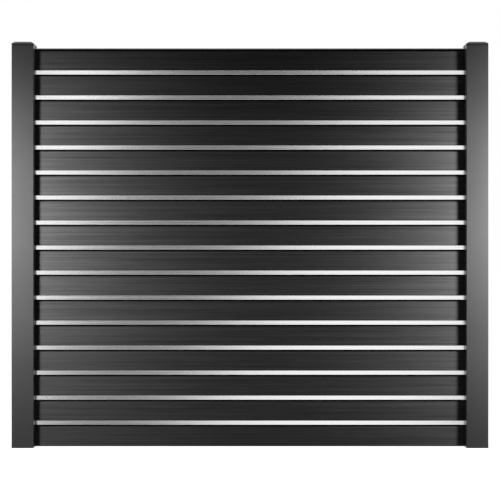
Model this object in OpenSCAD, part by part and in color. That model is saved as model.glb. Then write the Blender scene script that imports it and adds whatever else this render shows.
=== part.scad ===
// Aluminium privacy fence, one bay.
// Two grooved posts hold a stack of hollow boards. Between each board and the next lies a bright
// strip whose two tongues enter the grooves in the boards' edges, so the stack slides in from the
// top and needs no screws. Every long piece is an extrusion: its section is drawn once, in its
// own module, and carried along its length.
//
// Frame: the origin is the centre of the left post's foot, on the ground. +X runs along the fence
// to the right post, +Y to the back, +Z up.

/* [Bay] */
// Clear width between the two posts
clear_w = 1960; // [600:10:2400]
// Number of boards in the stack
board_count = 16; // [2:1:20]
// Gap between the ground and the panel
ground_gap = 3; // [2:1:60]
// Height of the posts above the top of the panel
post_rise = 8; // [0:1:200]

/* [Posts] */
// Width and depth of each square post
post_w = 100; // [85:1:140]
// Thickness of the post's outer walls
post_wall = 2.4; // [1.8:0.1:4]
// Radius of the post's outer corners
post_corner_r = 3; // [1:0.5:6]
// Depth of the groove in each side that can face a panel
groove_d = 24; // [18:1:28]
// Thickness of the groove's walls
groove_wall = 2; // [1.4:0.1:3]
// Thickness of the web that ties the two grooves together
web_t = 2; // [1.4:0.1:4]
// Clearance between the groove and the strips, on each side
groove_clear = 0.5; // [0.2:0.1:0.8]
// Outer radius of each screw port
port_r = 5.4; // [4.6:0.1:5.8]
// Radius of the hole in each screw port
port_hole_r = 2.7; // [2:0.1:3.2]
// Width of the slot that opens each screw port
port_slot_w = 2.2; // [1:0.1:3]

/* [Caps] */
// Height of the recessed neck that leaves a shadow line under the cap
cap_neck_h = 2; // [1:0.5:6]
// Depth of that recess
cap_neck_inset = 1.4; // [0.4:0.1:1.6]
// Height of the cap's upright edge
cap_edge_h = 7; // [2:0.5:20]
// Height of the bevel above that edge
cap_bevel_h = 9; // [2:0.5:20]
// Width of the bevel
cap_bevel_w = 14; // [3:0.5:20]
// Thickness of the cap's roof
cap_roof_t = 2.5; // [1.5:0.5:3]
// Thickness of the cap's neck
cap_neck_t = 2; // [1.5:0.5:3]
// Thickness of the deck that closes the tops of the grooves
cap_deck_t = 2.5; // [1.5:0.5:3]
// Depth that the cap's plugs reach into the post
plug_depth = 18; // [8:1:40]
// Thickness of the plugs' walls
plug_wall = 2; // [1.5:0.5:4]
// Clearance between the plugs and the post's inner walls
plug_clear = 0.4; // [0.2:0.1:0.8]

/* [Boards] */
// Height of a board, neck included
board_h = 95; // [70:1:160]
// Thickness of a board
board_t = 20; // [18:0.5:24]
// Thickness of a board's walls
board_wall = 1.4; // [1:0.1:2]
// Number of ribs inside a board
rib_count = 2; // [0:1:4]
// Thickness of each rib
rib_t = 1.2; // [0.8:0.1:2]
// Play left between a board's end and the floor of the post's groove
end_play = 4; // [1:0.5:10]
// Height of the recessed neck that leaves a shadow line under each strip
neck_h = 8.5; // [3:0.5:12]
// Thickness of the neck's two lips
neck_lip_t = 1.7; // [1.2:0.1:2]
// Bevel along the edges of a board's faces
board_edge = 0.8; // [0.4:0.1:1]

/* [Strips] */
// Visible height of a strip
strip_h = 19; // [8:1:60]
// Distance that a strip's faces stand out from the boards' faces
strip_proud = 0.5; // [0:0.1:2]
// Thickness of a strip's walls
strip_wall = 1.5; // [1:0.1:2]
// Bevel along the edges of a strip's faces
strip_edge = 0.7; // [0.3:0.1:1.2]
// Visible height of the top trim
trim_h = 5.5; // [4:0.5:20]
// Thickness of the bottom rail's plate
rail_plate_t = 2.5; // [2:0.5:6]

/* [Joints between boards and strips] */
// Thickness of a tongue
tongue_t = 8; // [6:0.5:9]
// Length of a tongue
tongue_l = 8; // [5:0.5:12]
// Clearance beside a tongue
tongue_side_clear = 0.3; // [0.1:0.1:0.6]
// Clearance past the tip of a tongue
tongue_tip_clear = 0.5; // [0.2:0.1:1]

/* [Panel rests] */
// Clearance around a rest in the post's groove
rest_clear = 0.3; // [0.1:0.1:0.8]

/* [Hidden] */
$fn = 48;
// Overshoot of a cutting solid past the face that it opens
cut = 1;

// Centres of the two posts
post_x = [0, clear_w + post_w];
// Half the post's width
post_half = post_w / 2;
// Half the inside width of the post
post_inner = post_half - post_wall;

// The groove takes the strips, which are the thickest pieces of the stack
strip_t = board_t + 2 * strip_proud;
groove_w = strip_t + 2 * groove_clear;
// Half the width over the groove's walls, and the side of the groove's floor nearest the centre
groove_outer = groove_w / 2 + groove_wall;
groove_back = post_half - groove_d - groove_wall;

// The stack runs from groove floor to groove floor, less the play at each end
panel_x = post_half - groove_d + end_play;
panel_l = clear_w + 2 * (groove_d - end_play);

// Grooves in the boards' edges take the tongues
slot_w = tongue_t + 2 * tongue_side_clear;
slot_d = tongue_l + tongue_tip_clear;
neck_half = slot_w / 2 + neck_lip_t;
// Height of the board's face, up to the shoulder at the foot of the neck
face_h = board_h - neck_h;

// Heights in the stack, from the ground up
pitch = board_h + strip_h;
stack_z = ground_gap + rail_plate_t;
stack_top = stack_z + board_count * pitch - strip_h;
post_h = stack_top + trim_h + post_rise;

// A screw port stands in each inner corner, bedded by a third of its radius in both walls, which
// leaves no hollow behind it
port_at = post_inner - port_r * 2 / 3;
// Plugs fill the chambers before and behind the grooves, between the screw ports
plug_x = port_at - port_r - plug_clear;
plug_y = [groove_outer + plug_clear, post_inner - plug_clear];
// The deck over the grooves ends inside the plugs' inner walls
cap_deck_half = plug_y[0] + plug_wall / 2;
cap_neck_w = post_w - 2 * cap_neck_inset;

// Colours of the finishes
coat = [0.17, 0.18, 0.19];
brushed = [0.13, 0.135, 0.14];
bright = [0.78, 0.79, 0.80];
plastic = [0.08, 0.08, 0.08];

// Names of a repeated piece, counted from the bottom with two digits
function counted(name, i) = str(name, "_", i < 9 ? "0" : "", i + 1);

// ---- Helpers ----

// Outline from the points of its right half, listed from the bottom up, and their mirror image
function mirrored(half) = concat(half, [for (i = [len(half) - 1 : -1 : 0]) [-half[i][0], half[i][1]]]);

// Square about the centre with round corners
module rounded_square(w, r) {
    square([w, w - 2 * r], center = true);
    square([w - 2 * r, w], center = true);
    for (x = [-1, 1], y = [-1, 1])
        translate([x * (w / 2 - r), y * (w / 2 - r)])
            circle(r);
}

// Rectangle about the vertical axis, from height z0 up to z1
module band(half_w, z0, z1) {
    translate([-half_w, z0])
        square([2 * half_w, z1 - z0]);
}

// Carries a section, drawn in Y and Z, along the panel's length
module along_panel(z) {
    translate([panel_x, 0, z])
        rotate([90, 0, 90])
            linear_extrude(panel_l)
                children();
}

// ---- Posts ----

module at_corners(d) {
    for (x = [-1, 1], y = [-1, 1])
        translate([x * d, y * d])
            rotate(atan2(y, x))
                children();
}

// Both grooves with their walls, as solid blocks
module groove_blocks() {
    for (side = [-1, 1])
        translate([side * (post_half + groove_back) / 2, 0])
            square([post_half - groove_back, 2 * groove_outer], center = true);
}

module grooves() {
    for (side = [-1, 1])
        translate([side * (post_half - (groove_d - cut) / 2), 0])
            square([groove_d + cut, groove_w], center = true);
}

// Everything inside the outer walls that isn't metal, ports aside
module post_chambers() {
    difference() {
        square(2 * post_inner, center = true);
        groove_blocks();
        square([2 * post_inner, web_t], center = true);
        at_corners(port_at) circle(port_r);
    }
}

// Round hole with a slot towards the post's centre, which a self-tapping screw cuts into
module port_openings() {
    at_corners(port_at) {
        circle(port_hole_r);
        translate([-port_r - cut, -port_slot_w / 2])
            square([port_r + cut, port_slot_w]);
    }
}

module post_section() {
    difference() {
        rounded_square(post_w, post_corner_r);
        post_chambers();
        grooves();
        port_openings();
    }
}

module post(x) {
    color(coat)
        translate([x, 0, 0])
            linear_extrude(post_h)
                post_section();
}

// ---- Caps ----

// Upright block with a bevel on all four sides: the part common to one roof outline carried along
// X and the same outline carried along Y
module bevelled_block(w, upright_h) {
    top_h = upright_h + cap_bevel_h;
    roof = mirrored([[w / 2, 0], [w / 2, upright_h], [w / 2 - cap_bevel_w, top_h]]);
    intersection() {
        linear_extrude(top_h) rounded_square(w, post_corner_r);
        rotate([90, 0, 0]) linear_extrude(w + 2 * cut, center = true) polygon(roof);
        rotate([90, 0, 90]) linear_extrude(w + 2 * cut, center = true) polygon(roof);
    }
}

// Outside of the cap above the post's end: the recessed neck and the bevelled top
module cap_outside() {
    linear_extrude(cap_neck_h) rounded_square(cap_neck_w, post_corner_r);
    translate([0, 0, cap_neck_h]) bevelled_block(post_w, cap_edge_h);
}

// Hollow under the roof, open at the bottom except over the grooves, which a deck closes
module cap_hollow() {
    difference() {
        translate([0, 0, -cut])
            bevelled_block(cap_neck_w - 2 * cap_neck_t, cut + cap_neck_h + cap_edge_h - cap_roof_t);
        translate([-post_half, -cap_deck_half, -cut])
            cube([post_w, 2 * cap_deck_half, cut + cap_deck_t]);
    }
}

// Walls of the plugs before and behind the grooves, from their tips in the post up to the roof
module cap_plugs() {
    plug_w = [2 * plug_x, plug_y[1] - plug_y[0]];
    translate([0, 0, -plug_depth])
        linear_extrude(plug_depth + cap_neck_h + cap_edge_h + cap_bevel_h - cap_roof_t)
            for (side = [-1, 1])
                translate([0, side * (plug_y[0] + plug_y[1]) / 2])
                    difference() {
                        square(plug_w, center = true);
                        square([plug_w[0] - 2 * plug_wall, plug_w[1] - 2 * plug_wall], center = true);
                    }
}

module cap(x) {
    color(coat)
        translate([x, 0, post_h]) {
            difference() {
                cap_outside();
                cap_hollow();
            }
            // The plugs' walls follow the underside of the bevel
            intersection() {
                cap_plugs();
                translate([0, 0, -plug_depth])
                    bevelled_block(post_w - cut, plug_depth + cap_neck_h + cap_edge_h - cap_roof_t);
            }
        }
}

// ---- Boards ----

module board_outline() {
    half = board_t / 2;
    polygon(mirrored([
        [half - board_edge, 0],
        [half, board_edge],
        [half, face_h - board_edge],
        [half - board_edge, face_h],
        [neck_half, face_h],
        [neck_half, board_h]
    ]));
}

// Hollow between the walls, less the metal round both edge grooves and the ribs
module board_chambers() {
    bottom_floor = slot_d + board_wall;
    top_floor = board_h - slot_d - board_wall;
    rib_step = (top_floor - bottom_floor) / (rib_count + 1);
    difference() {
        band(board_t / 2 - board_wall, board_wall, face_h - board_wall);
        band(neck_half, 0, bottom_floor);
        band(neck_half, top_floor, board_h);
        if (rib_count > 0)
            for (i = [1 : rib_count]) {
                z = bottom_floor + i * rib_step;
                band(board_t, z - rib_t / 2, z + rib_t / 2);
            }
    }
}

module board_section() {
    difference() {
        board_outline();
        board_chambers();
        band(slot_w / 2, -cut, slot_d);
        band(slot_w / 2, board_h - slot_d, board_h + cut);
    }
}

module board(i) {
    color(brushed)
        along_panel(stack_z + i * pitch)
            board_section();
}

// ---- Strips, top trim and bottom rail ----

// Body with one tongue up and one down, hollow right through both
module strip_section() {
    half = strip_t / 2;
    difference() {
        union() {
            polygon(mirrored([
                [half - strip_edge, 0],
                [half, strip_edge],
                [half, strip_h - strip_edge],
                [half - strip_edge, strip_h]
            ]));
            band(tongue_t / 2, -tongue_l, strip_h + tongue_l);
        }
        band(half - strip_wall, strip_wall, strip_h - strip_wall);
        band(tongue_t / 2 - strip_wall, strip_wall - tongue_l, strip_h + tongue_l - strip_wall);
    }
}

module strip(i) {
    color(bright)
        along_panel(stack_z + i * pitch + board_h)
            strip_section();
}

// Low body, as thick as the boards, with one hollow tongue up
module edge_section(h) {
    half = board_t / 2;
    difference() {
        union() {
            polygon(mirrored([
                [half - board_edge, 0],
                [half, board_edge],
                [half, h]
            ]));
            band(tongue_t / 2, 0, h + tongue_l);
        }
        band(tongue_t / 2 - strip_wall, strip_wall, h + tongue_l - strip_wall);
    }
}

module bottom_rail() {
    color(brushed)
        along_panel(ground_gap)
            edge_section(rail_plate_t);
}

// The bottom rail's section upside down, but taller and hollow out to its faces
module trim_section() {
    difference() {
        edge_section(trim_h);
        band(board_t / 2 - strip_wall, strip_wall, trim_h - strip_wall);
    }
}

module top_trim() {
    color(bright)
        along_panel(stack_top + trim_h)
            mirror([0, 1]) trim_section();
}

// Pad in the foot of a post's inner groove, under the end of the bottom rail
module panel_rest(x, side) {
    rest_l = groove_d - 2 * rest_clear;
    rest_w = groove_w - 2 * rest_clear;
    color(plastic)
        translate([x + side * (post_half - groove_d / 2), 0, ground_gap / 2])
            cube([rest_l, rest_w, ground_gap], center = true);
}

// ---- Drawing ----

post(post_x[0]);  // post_left
post(post_x[1]);  // post_right
panel_rest(post_x[0], 1);  // rest_left
panel_rest(post_x[1], -1);  // rest_right
bottom_rail();
top_trim();
cap(post_x[0]);  // cap_left
cap(post_x[1]);  // cap_right
for (i = [0 : board_count - 1])
    board(i);
for (i = [0 : board_count - 2])
    strip(i);
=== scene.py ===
"""Finishes, studio and camera of the aluminium privacy fence bay.

Everything is in metres, in the frame of the CAD model: X runs along the fence from the left post,
Y to the back and Z up.
"""

import math

import bpy
import numpy as np
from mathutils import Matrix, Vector


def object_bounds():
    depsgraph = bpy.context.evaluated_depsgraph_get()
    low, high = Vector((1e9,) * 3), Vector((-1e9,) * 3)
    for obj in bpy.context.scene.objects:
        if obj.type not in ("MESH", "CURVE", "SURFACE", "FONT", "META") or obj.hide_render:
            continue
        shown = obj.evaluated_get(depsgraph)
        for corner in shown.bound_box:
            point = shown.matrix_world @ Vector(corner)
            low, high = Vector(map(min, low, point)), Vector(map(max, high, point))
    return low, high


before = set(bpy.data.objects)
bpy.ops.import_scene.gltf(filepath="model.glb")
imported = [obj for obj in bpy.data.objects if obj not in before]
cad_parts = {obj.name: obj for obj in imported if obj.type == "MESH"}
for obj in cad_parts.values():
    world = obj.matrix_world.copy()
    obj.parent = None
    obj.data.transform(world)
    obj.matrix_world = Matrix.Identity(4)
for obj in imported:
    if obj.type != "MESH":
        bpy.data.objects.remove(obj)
cad_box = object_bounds()
cad_low, cad_high = cad_box
MM = 0.001


# ---- Helpers ----


def linear(hex_colour):
    """A colour socket's value from an sRGB hex colour: each channel c gives c / 12.92 up to
    0.04045 and ((c + 0.055) / 1.055) ** 2.4 above it."""
    c = np.array([int(hex_colour[i : i + 2], 16) for i in (1, 3, 5)]) / 255
    return (*np.where(c <= 0.04045, c / 12.92, ((c + 0.055) / 1.055) ** 2.4).tolist(), 1.0)


def add(tree, kind, settings=None, inputs=None):
    """Adds a node with its settings, then links each input that is given as another node's
    output and sets each of the others to its value."""
    made = tree.nodes.new("ShaderNode" + kind)
    for name, value in (settings or {}).items():
        setattr(made, name, value)
    for key, value in (inputs or {}).items():
        if isinstance(value, bpy.types.NodeSocket):
            tree.links.new(value, made.inputs[key])
        else:
            made.inputs[key].default_value = value
    return made


def new_finish(name):
    """An empty material, with its tree, its output node and the place on the piece."""
    made = bpy.data.materials.new(name)
    made.use_nodes = True
    tree = made.node_tree
    tree.nodes.clear()
    place = add(tree, "TexCoord").outputs["Object"]
    return made, tree, add(tree, "OutputMaterial"), place


# The Mix node's sockets: its two colours and their result, and its factor, two numbers and result
MIX_A, MIX_B, MIX_COLOUR = 6, 7, 2
MIX_FACTOR, MIX_LOW, MIX_HIGH, MIX_NUMBER = 0, 2, 3, 0


# ---- Finishes ----

# From a board's middle plane, the neck in its recess is at 6 mm and its faces are at 10 mm. Painted
# # shade fills the recess and fades out between them, over this range.
RECESS_SHADE_EDGE, RECESS_SHADE_GONE = 8 * MM, 8.5 * MM
# Near-black painted shade for the recess under each strip, in place of the shade that falls there
RECESS_PAINTED_SHADE = "#101010"


def powder_coat(name, dark, light, grain, roughness):
    """Anthracite polyester powder, sprayed on and baked. The powder melts into a satin skin with
    a faint orange peel, and its film is a little thicker in some places than in others. grain is
    the width of one dimple of the peel."""
    made, tree, out, place = new_finish(name)
    film = add(tree, "TexNoise", inputs={
        "Vector": place, "Scale": 1 / (260 * MM), "Detail": 2, "Roughness": 0.5})
    peel = add(tree, "TexNoise", inputs={
        "Vector": place, "Scale": 1 / grain, "Detail": 1, "Roughness": 0.4})
    colour = add(tree, "Mix", {"data_type": "RGBA"}, {
        "Factor": film.outputs["Fac"], MIX_A: linear(dark), MIX_B: linear(light)})
    gloss = add(tree, "MapRange", inputs={
        "Value": film.outputs["Fac"], "From Min": 0.3, "From Max": 0.7,
        "To Min": roughness - 0.03, "To Max": roughness + 0.03})
    bump = add(tree, "Bump", inputs={
        "Height": peel.outputs["Fac"], "Strength": 0.25, "Distance": 0.06 * MM})
    skin = add(tree, "BsdfPrincipled", inputs={
        "Base Color": colour.outputs[MIX_COLOUR], "Metallic": 0.0, "Specular IOR Level": 0.4,
        "Roughness": gloss.outputs["Result"], "Normal": bump.outputs["Normal"]})
    tree.links.new(skin.outputs["BSDF"], out.inputs["Surface"])
    return made


def black_anodised_and_recess_shade(name, dark, light):
    """Black anodised aluminium, brushed lengthwise before the bath. The brush leaves fine lines
    along the board, which draw a highlight out across them. A brush line is about 0.3 mm wide,
    too fine to show on a whole fence, so broader bands of lines are drawn as well. The recess
    under a strip is coloured near-black as painted shade, for the shade that falls there.
    dark and light are the colours between which the lines go. On the bottom rail they are both
    near black, painted shade for the dark line along the panel's foot, so its lines hardly show."""
    made, tree, out, place = new_finish(name)
    fine = add(tree, "TexNoise", inputs={
        "Vector": add(tree, "Mapping", inputs={
            "Vector": place,
            "Scale": (1 / (180 * MM), 1 / (0.6 * MM), 1 / (0.6 * MM))}).outputs["Vector"],
        "Scale": 1.0, "Detail": 2, "Roughness": 0.6})
    bands = add(tree, "TexNoise", inputs={
        "Vector": add(tree, "Mapping", inputs={
            "Vector": place,
            "Scale": (1 / (1200 * MM), 1 / (9 * MM), 1 / (9 * MM))}).outputs["Vector"],
        "Scale": 1.0, "Detail": 3, "Roughness": 0.65})
    lines = add(tree, "Math", {"operation": "ADD"}, {
        0: fine.outputs["Fac"], 1: bands.outputs["Fac"]})
    colour = add(tree, "Mix", {"data_type": "RGBA"}, {
        "Factor": add(tree, "MapRange", inputs={
            "Value": lines.outputs["Value"], "From Min": 0.75, "From Max": 1.25}).outputs["Result"],
        MIX_A: linear(dark), MIX_B: linear(light)})
    gloss = add(tree, "MapRange", inputs={
        "Value": lines.outputs["Value"], "From Min": 0.7, "From Max": 1.3,
        "To Min": 0.30, "To Max": 0.42})
    # Painted shade: nearer the middle plane than the faces, in the recess under a strip, the colour
    # goes to near-black
    depth = add(tree, "Math", {"operation": "ABSOLUTE"}, {
        0: add(tree, "SeparateXYZ", inputs={0: place}).outputs["Y"]})
    unshaded = add(tree, "MapRange", inputs={
        "Value": depth.outputs["Value"], "From Min": RECESS_SHADE_EDGE, "From Max": RECESS_SHADE_GONE})
    lines_and_recess_shade = add(tree, "Mix", {"data_type": "RGBA"}, {
        "Factor": unshaded.outputs["Result"], MIX_A: linear(RECESS_PAINTED_SHADE),
        MIX_B: colour.outputs[MIX_COLOUR]})
    bump = add(tree, "Bump", inputs={
        "Height": lines.outputs["Value"], "Strength": 0.2, "Distance": 0.03 * MM})
    along = add(tree, "CombineXYZ", inputs={"X": 1.0, "Y": 0.0, "Z": 0.0})
    metal = add(tree, "BsdfPrincipled", inputs={
        "Base Color": lines_and_recess_shade.outputs[MIX_COLOUR], "Metallic": 0.2, "Specular IOR Level": 0.2,
        "Roughness": gloss.outputs["Result"], "Anisotropic": 0.5,
        "Anisotropic Rotation": 0.25, "Tangent": along.outputs["Vector"],
        "Normal": bump.outputs["Normal"]})
    tree.links.new(metal.outputs["BSDF"], out.inputs["Surface"])
    return made


def clear_anodised():
    """Natural anodised aluminium, as extruded and etched. The etch leaves a bright satin, and
    the die leaves faint lines along the strip, about 1 mm apart."""
    made, tree, out, place = new_finish("anodised aluminium natural satin")
    die_lines = add(tree, "TexNoise", inputs={
        "Vector": add(tree, "Mapping", inputs={
            "Vector": place,
            "Scale": (1 / (1500 * MM), 1 / (1.2 * MM), 1 / (1.2 * MM))}).outputs["Vector"],
        "Scale": 1.0, "Detail": 2, "Roughness": 0.5})
    etch = add(tree, "TexNoise", inputs={
        "Vector": place, "Scale": 1 / (0.5 * MM), "Detail": 1, "Roughness": 0.5})
    colour = add(tree, "Mix", {"data_type": "RGBA"}, {
        "Factor": die_lines.outputs["Fac"], MIX_A: linear("#dedede"), MIX_B: linear("#eeeeee")})
    gloss = add(tree, "MapRange", inputs={
        "Value": die_lines.outputs["Fac"], "From Min": 0.3, "From Max": 0.7,
        "To Min": 0.26, "To Max": 0.29})
    bump = add(tree, "Bump", inputs={
        "Height": etch.outputs["Fac"], "Strength": 0.15, "Distance": 0.02 * MM})
    metal = add(tree, "BsdfPrincipled", inputs={
        "Base Color": colour.outputs[MIX_COLOUR], "Metallic": 1.0,
        "Roughness": gloss.outputs["Result"], "Normal": bump.outputs["Normal"]})
    tree.links.new(metal.outputs["BSDF"], out.inputs["Surface"])
    return made


def moulded_polyamide():
    """Black glass-filled polyamide, injection moulded. The mould's spark-eroded wall leaves a
    dull, even grain of about 0.4 mm."""
    made, tree, out, place = new_finish("polyamide black moulded")
    grain = add(tree, "TexNoise", inputs={
        "Vector": place, "Scale": 1 / (0.4 * MM), "Detail": 2, "Roughness": 0.6})
    colour = add(tree, "Mix", {"data_type": "RGBA"}, {
        "Factor": grain.outputs["Fac"], MIX_A: linear("#161617"), MIX_B: linear("#232325")})
    bump = add(tree, "Bump", inputs={
        "Height": grain.outputs["Fac"], "Strength": 0.3, "Distance": 0.05 * MM})
    plastic = add(tree, "BsdfPrincipled", inputs={
        "Base Color": colour.outputs[MIX_COLOUR], "Roughness": 0.6, "IOR": 1.53,
        "Normal": bump.outputs["Normal"]})
    tree.links.new(plastic.outputs["BSDF"], out.inputs["Surface"])
    return made


finishes = {
    "post": powder_coat("powder coat anthracite satin", "#3e3e3e", "#464646", 2.5 * MM, 0.3),
    "cap": powder_coat("powder coat anthracite on castings", "#2f2f2f", "#383838", 3.5 * MM, 0.35),
    "board": black_anodised_and_recess_shade("anodised aluminium black brushed", "#3f3f3f", "#5b5b5b"),
    # The bottom rail is near-black all over: painted shade for the dark line along the panel's foot
    "bottom": black_anodised_and_recess_shade("anodised aluminium black, painted shade at the foot", "#101010", "#1c1c1c"),
    "strip": clear_anodised(),
    "rest": moulded_polyamide(),
}
finishes["top"] = finishes["strip"]
for name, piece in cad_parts.items():
    for slot in piece.material_slots:
        slot.material = finishes[name.split("_")[0]]


# ---- Studio ----

scene = bpy.context.scene
middle = (cad_low + cad_high) / 2
# The camera's eye: its height, and how far it is before the fence's middle plane
EYE_HEIGHT = 0.897
CAMERA_BACK = 6.05
# How far the two boxes that the strips mirror are before the fence's middle plane
BOXES_AWAY = 3.0
# How wide a cone each side box lights, in degrees
SIDE_SPREAD = 166
FLOOR_HALF = 40
# The brightness of the surroundings in a mirror, straight before the fence, beside it and behind
# it, and what they give to surfaces that scatter light
BEFORE, BESIDE, BEHIND = 0.1, 0.75, 1.0
SCATTERED = 0.01


def sheet(name, corners):
    """A flat sheet from its four corners, in order round it."""
    mesh = bpy.data.meshes.new(name)
    mesh.from_pydata([tuple(c) for c in corners], [], [(0, 1, 2, 3)])
    made = bpy.data.objects.new(name, mesh)
    scene.collection.objects.link(made)
    return made


def hide_from(thing, *rays):
    """Keeps a thing out of the sight of these kinds of ray."""
    for ray in rays:
        setattr(thing, "visible_" + ray, False)


def mirrored_box(name, across, height, width, tall, lean, level):
    """An even rectangular soft box, square to the fence and well before it, which the strips
    mirror. Its corners are its centre plus or minus half its width and half its height, turned
    by lean, in degrees, in its own plane. level is its brightness."""
    lean = math.radians(lean)
    beside = Vector((math.cos(lean), 0, math.sin(lean))) * width / 2
    above = Vector((-math.sin(lean), 0, math.cos(lean))) * tall / 2
    centre = Vector((across, -BOXES_AWAY, height))
    made = sheet(name, [centre - beside - above, centre + beside - above,
                        centre + beside + above, centre - beside + above])
    hide_from(made, "camera", "diffuse", "transmission", "volume_scatter", "shadow")
    made.light_linking.receiver_collection = mirrors
    mat = bpy.data.materials.new(name)
    mat.use_nodes = True
    tree = mat.node_tree
    tree.nodes.clear()
    glow = add(tree, "Emission", inputs={"Color": linear("#ffffff"), "Strength": level})
    tree.links.new(glow.outputs["Emission"], add(tree, "OutputMaterial").inputs["Surface"])
    made.data.materials.append(mat)


def soft_box(name, at, aim, size, watts, spread=180):
    """A rectangular soft light at a place, facing along aim with its height upright. Only
    surfaces that scatter light take it: none mirrors it."""
    data = bpy.data.lights.new(name, "AREA")
    data.shape, data.size, data.size_y, data.energy = "RECTANGLE", *size, watts
    data.spread = math.radians(spread)
    made = bpy.data.objects.new(name, data)
    made.location = at
    made.rotation_euler = Vector(aim).to_track_quat("-Z", "Y").to_euler()
    scene.collection.objects.link(made)
    hide_from(made, "camera", "glossy")
    return made


def side_box(end, side, out, away, height, size, turn, tilt, watts):
    """A soft box outside one end of the fence, in front of it or behind it: out past the post's
    middle, and away from the fence's middle plane. It faces that plane squarely but for a turn
    outwards and a tilt down, in degrees. It is flagged off the far post, whose inner side it would
    light as brightly as the boards."""
    turn, tilt = math.radians(turn), math.radians(tilt)
    x = -out if end < 0 else 2 * middle.x + out
    aim = (end * math.sin(turn) * math.cos(tilt), -side * math.cos(turn) * math.cos(tilt),
           -math.sin(tilt))
    made = soft_box("side box", (x, side * away, height), aim, size, watts, SIDE_SPREAD)
    made.light_linking.receiver_collection = left_lit if end < 0 else right_lit


def pieces_but(name, *left_out):
    """A collection, kept out of the scene, of the fence's pieces whose names don't end so."""
    made = bpy.data.collections.new(name)
    for piece_name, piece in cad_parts.items():
        if not piece_name.endswith(left_out):
            made.objects.link(piece)
    return made


left_lit = pieces_but("pieces that the left boxes light", "_right")
right_lit = pieces_but("pieces that the right boxes light", "_left")
mirrors = bpy.data.collections.new("pieces that mirror the front boxes")
for name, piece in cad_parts.items():
    if name.startswith("strip"):
        mirrors.objects.link(piece)

for side in (-1, 1):
    side_box(end=-1, side=side, out=0.36, away=0.68, height=1.12, size=(0.15, 0.71),
             turn=1.2, tilt=19.5, watts=31)
    side_box(end=1, side=side, out=0.54, away=0.61, height=1.14, size=(0.29, 0.65),
             turn=8.7, tilt=12.4, watts=63)

mirrored_box("left box", across=-0.547, height=0.86, width=0.6, tall=3.8, lean=-16.6, level=2.0)
mirrored_box("right box", across=2.045, height=0.638, width=1.823, tall=3.8, lean=-26.4,
             level=1.27)

# A long narrow light over the fence, in its own plane, so that the tops take it and the faces don't
soft_box("overhead light", at=(middle.x, 0, 3.2), aim=(0, 0, -1), size=(2.6, 0.02), watts=30)

floor = sheet("floor", [(-FLOOR_HALF, -FLOOR_HALF, 0), (FLOOR_HALF, -FLOOR_HALF, 0),
                        (FLOOR_HALF, FLOOR_HALF, 0), (-FLOOR_HALF, FLOOR_HALF, 0)])
hide_from(floor, "glossy", "diffuse", "shadow")
floor_mat = bpy.data.materials.new("pale studio floor")
floor_mat.use_nodes = True
principled = floor_mat.node_tree.nodes["Principled BSDF"]
principled.inputs["Base Color"].default_value = linear("#f2f2f2")
principled.inputs["Roughness"].default_value = 0.9
principled.inputs["Specular IOR Level"].default_value = 0.0
principled.inputs["Emission Color"].default_value = linear("#ffffff")
principled.inputs["Emission Strength"].default_value = 1.0
floor.data.materials.append(floor_mat)

world = bpy.data.worlds.new("studio")
scene.world = world
world.use_nodes = True
tree = world.node_tree
tree.nodes.clear()
rays = add(tree, "LightPath")
# Y of a ray's heading is -1 straight before the fence, 0 along it and 1 straight behind it
heading = add(tree, "SeparateXYZ", inputs={0: add(tree, "TexCoord").outputs["Generated"]})
aside = add(tree, "MapRange", {"interpolation_type": "SMOOTHSTEP"}, {
    "Value": heading.outputs["Y"], "From Min": -0.9, "From Max": -0.7,
    "To Min": BEFORE, "To Max": BESIDE})
behind = add(tree, "MapRange", {"interpolation_type": "SMOOTHSTEP"}, {
    "Value": heading.outputs["Y"], "From Min": 0.2, "From Max": 0.6,
    "To Min": 0.0, "To Max": BEHIND - BESIDE})
mirrored = add(tree, "Math", {"operation": "ADD"}, {
    0: aside.outputs["Result"], 1: behind.outputs["Result"]})
given = add(tree, "Mix", {"data_type": "FLOAT"}, {
    MIX_FACTOR: rays.outputs["Is Glossy Ray"], MIX_LOW: SCATTERED,
    MIX_HIGH: mirrored.outputs["Value"]})
brightness = add(tree, "Math", {"operation": "MAXIMUM"}, {
    0: rays.outputs["Is Camera Ray"], 1: given.outputs[MIX_NUMBER]})
sky = add(tree, "Background", inputs={
    "Color": linear("#ffffff"), "Strength": brightness.outputs["Value"]})
tree.links.new(sky.outputs["Background"], add(tree, "OutputWorld").inputs["Surface"])

scene.view_settings.view_transform = "Standard"

# ---- Camera ----

# The width that the camera takes in at the posts' fronts
VIEW_WIDTH = 2.2635
cam = bpy.data.cameras.new("camera")
cam.sensor_width = 36
cam.lens = cam.sensor_width * (CAMERA_BACK + cad_low.y) / VIEW_WIDTH
camera = bpy.data.objects.new("camera", cam)
camera.location = (middle.x, -CAMERA_BACK, EYE_HEIGHT)
camera.rotation_euler = (math.radians(90), 0, 0)
scene.collection.objects.link(camera)
scene.camera = camera

bpy.context.view_layer.update()
